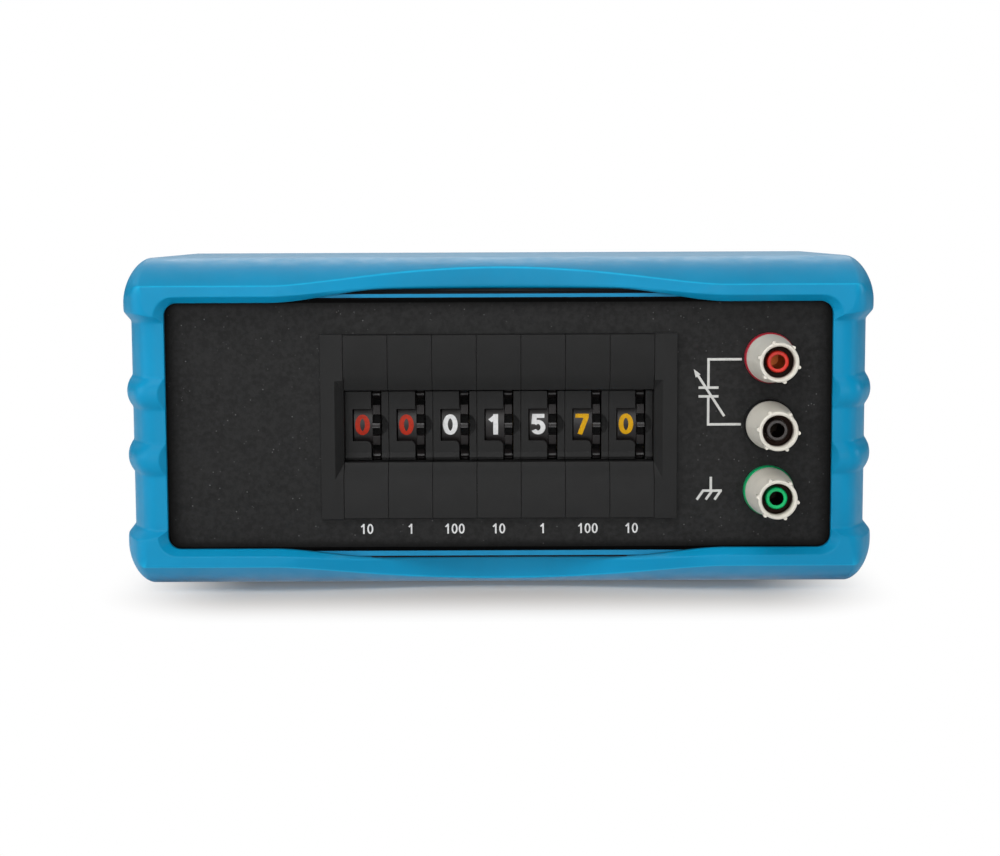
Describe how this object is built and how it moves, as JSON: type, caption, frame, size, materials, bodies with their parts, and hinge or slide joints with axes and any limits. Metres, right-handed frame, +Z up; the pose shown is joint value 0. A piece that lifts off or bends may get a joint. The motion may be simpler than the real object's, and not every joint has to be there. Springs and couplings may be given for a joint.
{
  "type": "capacitance decade box",
  "caption": "Bench capacitance decade box: thumbwheel switches and binding posts on a black panel, in a blue moulded boot.",
  "frame": {"origin": "middle of the base, on the surface it stands on", "axes": "+X to the right along the front panel, +Y from the front to the back, +Z up"},
  "size_m": [0.218, 0.1436, 0.0954],
  "materials": {
    "boot_rubber": "moulded elastomer, satin",
    "case_plastic": "moulded, fine grain",
    "panel_paint": "fine powder coat",
    "switch_plastic": "moulded, satin",
    "wheel_plastic": "moulded, semi-gloss",
    "contact_brass": "bright",
    "spring_steel": "rolled",
    "zinc_steel": "zinc plated",
    "circuit_board": "solder mask",
    "ivory_plastic": "moulded, satin",
    "red_plastic": "moulded",
    "black_plastic": "moulded",
    "green_plastic": "moulded",
    "red_sleeve": "moulded",
    "black_sleeve": "moulded",
    "green_sleeve": "moulded",
    "film_red": "potted box",
    "film_blue": "potted box",
    "mica_brown": "dipped",
    "lead_insulation": "extruded",
    "print_white": "screen print",
    "print_red": "printed digit",
    "print_yellow": "printed digit"
  },
  "bodies": {
    "box": {"protective_boot": "boot_rubber", "top_shell": "case_plastic", "bottom_shell": "case_plastic", "case_screws": "zinc_steel", "front_panel": "panel_paint", "rear_panel": "panel_paint", "bank_end_left": "switch_plastic", "bank_end_right": "switch_plastic", "switch_housing_1": "switch_plastic", "switch_housing_2": "switch_plastic", "switch_housing_3": "switch_plastic", "switch_housing_4": "switch_plastic", "switch_housing_5": "switch_plastic", "switch_housing_6": "switch_plastic", "switch_housing_7": "switch_plastic", "detent_springs": "spring_steel", "contact_boards": "circuit_board", "bank_tie_rods": "zinc_steel", "tie_rod_nuts": "zinc_steel", "red_post_collar": "red_plastic", "red_post_sleeve": "red_sleeve", "red_post_stud": "contact_brass", "black_post_collar": "black_plastic", "black_post_sleeve": "black_sleeve", "black_post_stud": "contact_brass", "green_post_collar": "green_plastic", "green_post_sleeve": "green_sleeve", "green_post_stud": "contact_brass", "post_bushes": "black_plastic", "post_nuts": "contact_brass", "solder_tags": "zinc_steel", "capacitor_board": "circuit_board", "large_film_capacitors": "film_red", "small_film_capacitors": "film_blue", "mica_capacitors": "mica_brown", "board_screws": "zinc_steel", "post_leads": "lead_insulation", "bank_leads": "lead_insulation"},
    "wheel_1": {"number_wheel_1": "wheel_plastic", "contact_wiper_1": "contact_brass"},
    "wheel_2": {"number_wheel_2": "wheel_plastic", "contact_wiper_2": "contact_brass"},
    "wheel_3": {"number_wheel_3": "wheel_plastic", "contact_wiper_3": "contact_brass"},
    "wheel_4": {"number_wheel_4": "wheel_plastic", "contact_wiper_4": "contact_brass"},
    "wheel_5": {"number_wheel_5": "wheel_plastic", "contact_wiper_5": "contact_brass"},
    "wheel_6": {"number_wheel_6": "wheel_plastic", "contact_wiper_6": "contact_brass"},
    "wheel_7": {"number_wheel_7": "wheel_plastic", "contact_wiper_7": "contact_brass"},
    "red_washer": {"red_post_washer": "zinc_steel"},
    "red_cap": {"red_post_cap": "ivory_plastic"},
    "black_washer": {"black_post_washer": "zinc_steel"},
    "black_cap": {"black_post_cap": "ivory_plastic"},
    "green_washer": {"green_post_washer": "zinc_steel"},
    "green_cap": {"green_post_cap": "ivory_plastic"}
  },
  "joints": [
    {"name": "wheel_1_turn", "type": "hinge", "parent": "box", "child": "wheel_1", "pos_m": [-0.0381, -0.0322, 0.0471], "axis": [1, 0, 0], "continuous": true},
    {"name": "wheel_2_turn", "type": "hinge", "parent": "box", "child": "wheel_2", "pos_m": [-0.0254, -0.0322, 0.0471], "axis": [1, 0, 0], "continuous": true},
    {"name": "wheel_3_turn", "type": "hinge", "parent": "box", "child": "wheel_3", "pos_m": [-0.0127, -0.0322, 0.0471], "axis": [1, 0, 0], "continuous": true},
    {"name": "wheel_4_turn", "type": "hinge", "parent": "box", "child": "wheel_4", "pos_m": [0, -0.0322, 0.0471], "axis": [1, 0, 0], "continuous": true},
    {"name": "wheel_5_turn", "type": "hinge", "parent": "box", "child": "wheel_5", "pos_m": [0.0127, -0.0322, 0.0471], "axis": [1, 0, 0], "continuous": true},
    {"name": "wheel_6_turn", "type": "hinge", "parent": "box", "child": "wheel_6", "pos_m": [0.0254, -0.0322, 0.0471], "axis": [1, 0, 0], "continuous": true},
    {"name": "wheel_7_turn", "type": "hinge", "parent": "box", "child": "wheel_7", "pos_m": [0.0381, -0.0322, 0.0471], "axis": [1, 0, 0], "continuous": true},
    {"name": "red_cap_lift", "type": "slide", "parent": "box", "child": "red_washer", "axis": [0, -1, 0], "range_m": [0, 0.00375]},
    {"name": "red_cap_turn", "type": "hinge", "parent": "red_washer", "child": "red_cap", "pos_m": [0.0772, -0.0612, 0.06655], "axis": [0, -1, 0], "range_deg": [0, 1800]},
    {"name": "black_cap_lift", "type": "slide", "parent": "box", "child": "black_washer", "axis": [0, -1, 0], "range_m": [0, 0.00375]},
    {"name": "black_cap_turn", "type": "hinge", "parent": "black_washer", "child": "black_cap", "pos_m": [0.0772, -0.0612, 0.0475], "axis": [0, -1, 0], "range_deg": [0, 1800]},
    {"name": "green_cap_lift", "type": "slide", "parent": "box", "child": "green_washer", "axis": [0, -1, 0], "range_m": [0, 0.00375]},
    {"name": "green_cap_turn", "type": "hinge", "parent": "green_washer", "child": "green_cap", "pos_m": [0.0772, -0.0612, 0.02845], "axis": [0, -1, 0], "range_deg": [0, 1800]}
  ],
  "couplings": [
    {"joint": "red_cap_turn", "follows": "red_cap_lift", "rad_per_m": 8377.6},
    {"joint": "black_cap_turn", "follows": "black_cap_lift", "rad_per_m": 8377.6},
    {"joint": "green_cap_turn", "follows": "green_cap_lift", "rad_per_m": 8377.6}
  ]
}
